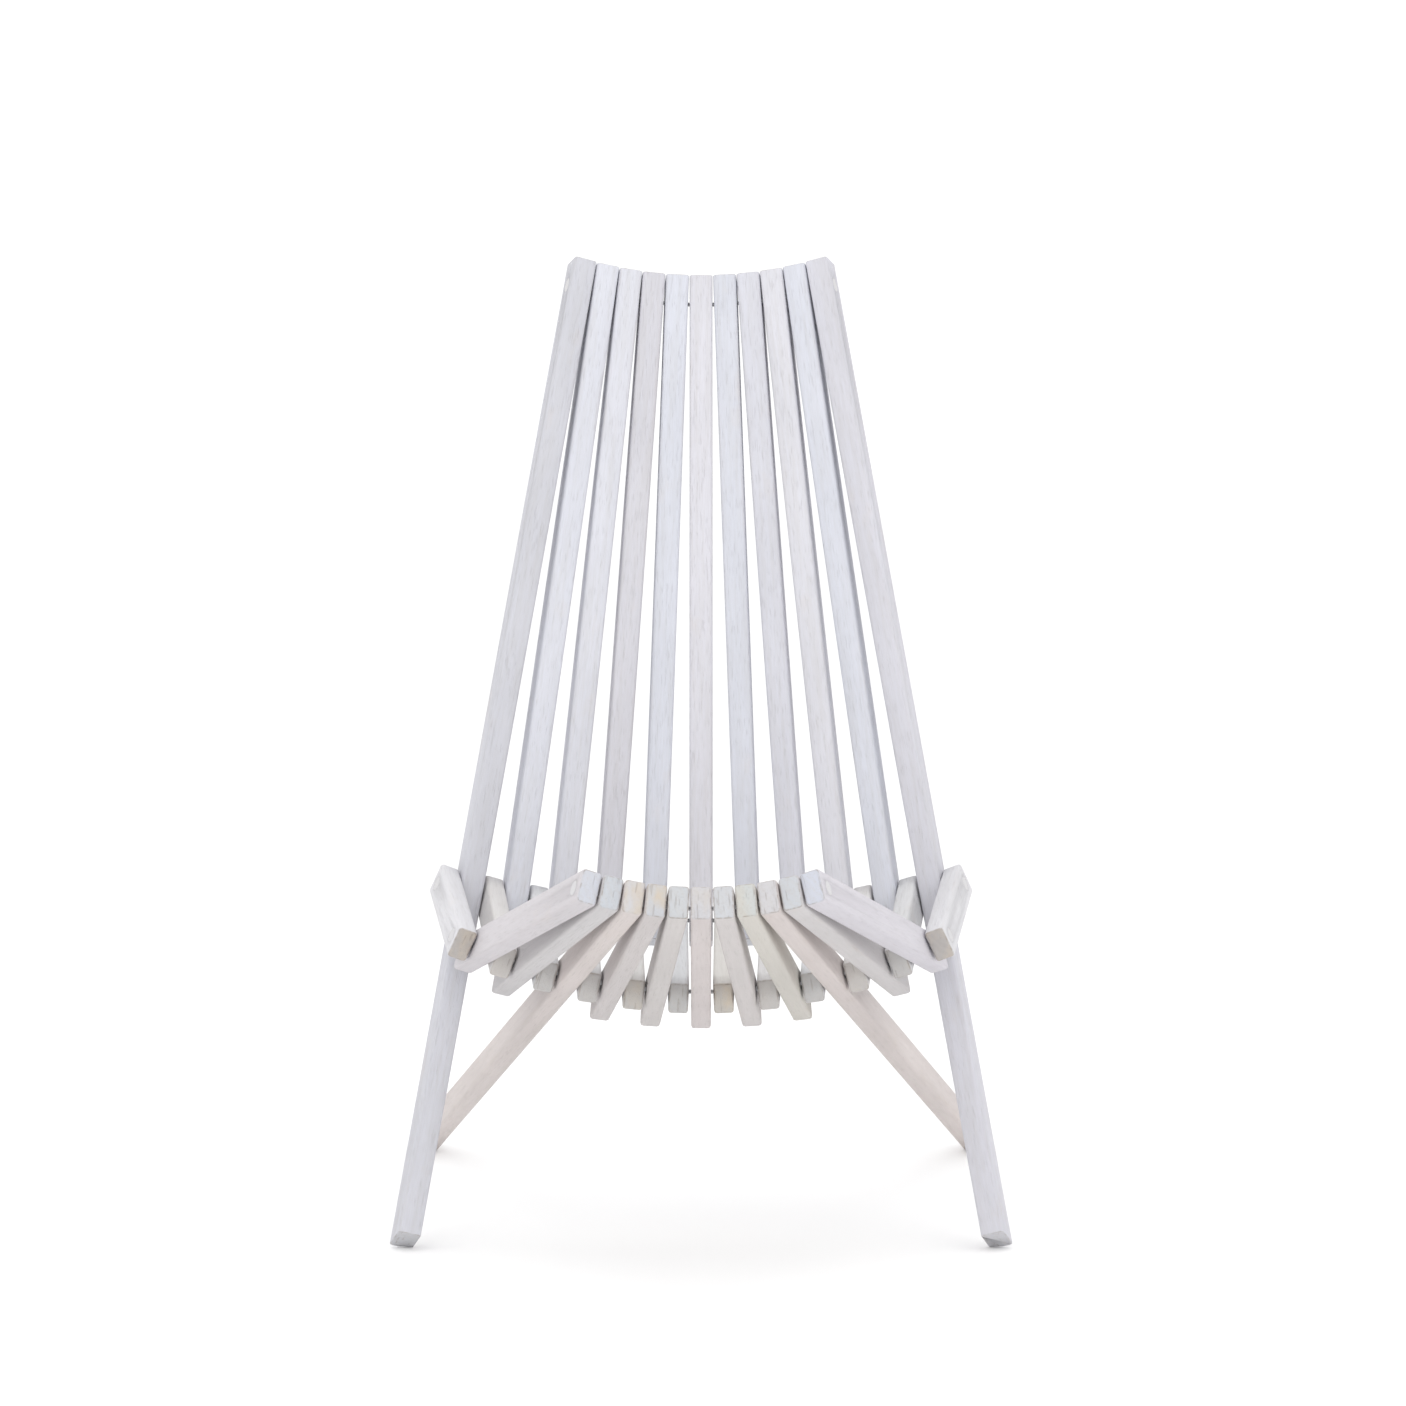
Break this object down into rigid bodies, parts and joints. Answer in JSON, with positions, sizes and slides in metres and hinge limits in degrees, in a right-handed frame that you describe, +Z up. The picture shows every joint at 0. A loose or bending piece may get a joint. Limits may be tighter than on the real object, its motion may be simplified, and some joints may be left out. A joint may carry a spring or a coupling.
{
  "type": "folding stick lounge chair",
  "caption": "Low reclining garden chair of slim whitewashed wooden sticks strung on bowed cross wires, with splayed legs that grow from the sticks.",
  "frame": {"origin": "middle of the bounding box at floor level", "axes": "+Z up, -Y towards the front of the chair, +X to the right of a viewer in front; the chair mirrors about the YZ plane"},
  "size_m": [0.6012, 0.9376, 0.9417],
  "materials": {
    "whitewashed_wood": "whitewashed hardwood, matte, fine open grain showing through a thin uneven wash",
    "plug_wood": "whitewashed end-grain plug, matte",
    "steel": "zinc-plated wire and nuts"
  },
  "bodies": {
    "back_frame": {"back_stick_l1": "whitewashed_wood", "back_stick_l2": "whitewashed_wood", "back_stick_l3": "whitewashed_wood", "back_stick_l4": "whitewashed_wood", "back_stick_l5": "whitewashed_wood", "back_stick_r1": "whitewashed_wood", "back_stick_r2": "whitewashed_wood", "back_stick_r3": "whitewashed_wood", "back_stick_r4": "whitewashed_wood", "back_stick_r5": "whitewashed_wood", "back_stick_c": "whitewashed_wood", "wire_top": "steel", "wire_top_nut_l": "steel", "wire_top_nut_r": "steel", "wire_top_plug_l": "plug_wood", "wire_top_plug_r": "plug_wood"},
    "links": {"link_stick_l1": "whitewashed_wood", "link_stick_l2": "whitewashed_wood", "link_stick_l3": "whitewashed_wood", "link_stick_l4": "whitewashed_wood", "link_stick_l5": "whitewashed_wood", "link_stick_l6": "whitewashed_wood", "link_stick_r1": "whitewashed_wood", "link_stick_r2": "whitewashed_wood", "link_stick_r3": "whitewashed_wood", "link_stick_r4": "whitewashed_wood", "link_stick_r5": "whitewashed_wood", "link_stick_r6": "whitewashed_wood", "wire_seat": "steel", "wire_back": "steel", "wire_seat_nut_l": "steel", "wire_seat_nut_r": "steel", "wire_seat_plug_l": "plug_wood", "wire_seat_plug_r": "plug_wood", "wire_back_nut_l": "steel", "wire_back_nut_r": "steel", "wire_back_plug_l": "plug_wood", "wire_back_plug_r": "plug_wood"},
    "seat_frame": {"seat_stick_l1": "whitewashed_wood", "seat_stick_l2": "whitewashed_wood", "seat_stick_l3": "whitewashed_wood", "seat_stick_l4": "whitewashed_wood", "seat_stick_l5": "whitewashed_wood", "seat_stick_r1": "whitewashed_wood", "seat_stick_r2": "whitewashed_wood", "seat_stick_r3": "whitewashed_wood", "seat_stick_r4": "whitewashed_wood", "seat_stick_r5": "whitewashed_wood", "seat_stick_c": "whitewashed_wood", "wire_front": "steel", "wire_front_nut_l": "steel", "wire_front_nut_r": "steel", "wire_front_plug_l": "plug_wood", "wire_front_plug_r": "plug_wood"}
  },
  "joints": [
    {"name": "link_fold", "type": "hinge", "parent": "back_frame", "child": "links", "pos_m": [0, -0.05566, 0.32094], "axis": [1, 0, 0], "range_deg": [0, 17], "deforming": ["wire_back"]},
    {"name": "seat_fold", "type": "hinge", "parent": "links", "child": "seat_frame", "pos_m": [0, -0.19239, 0.2899], "axis": [-1, 0, 0], "range_deg": [0, 20], "deforming": ["wire_seat"]}
  ]
}
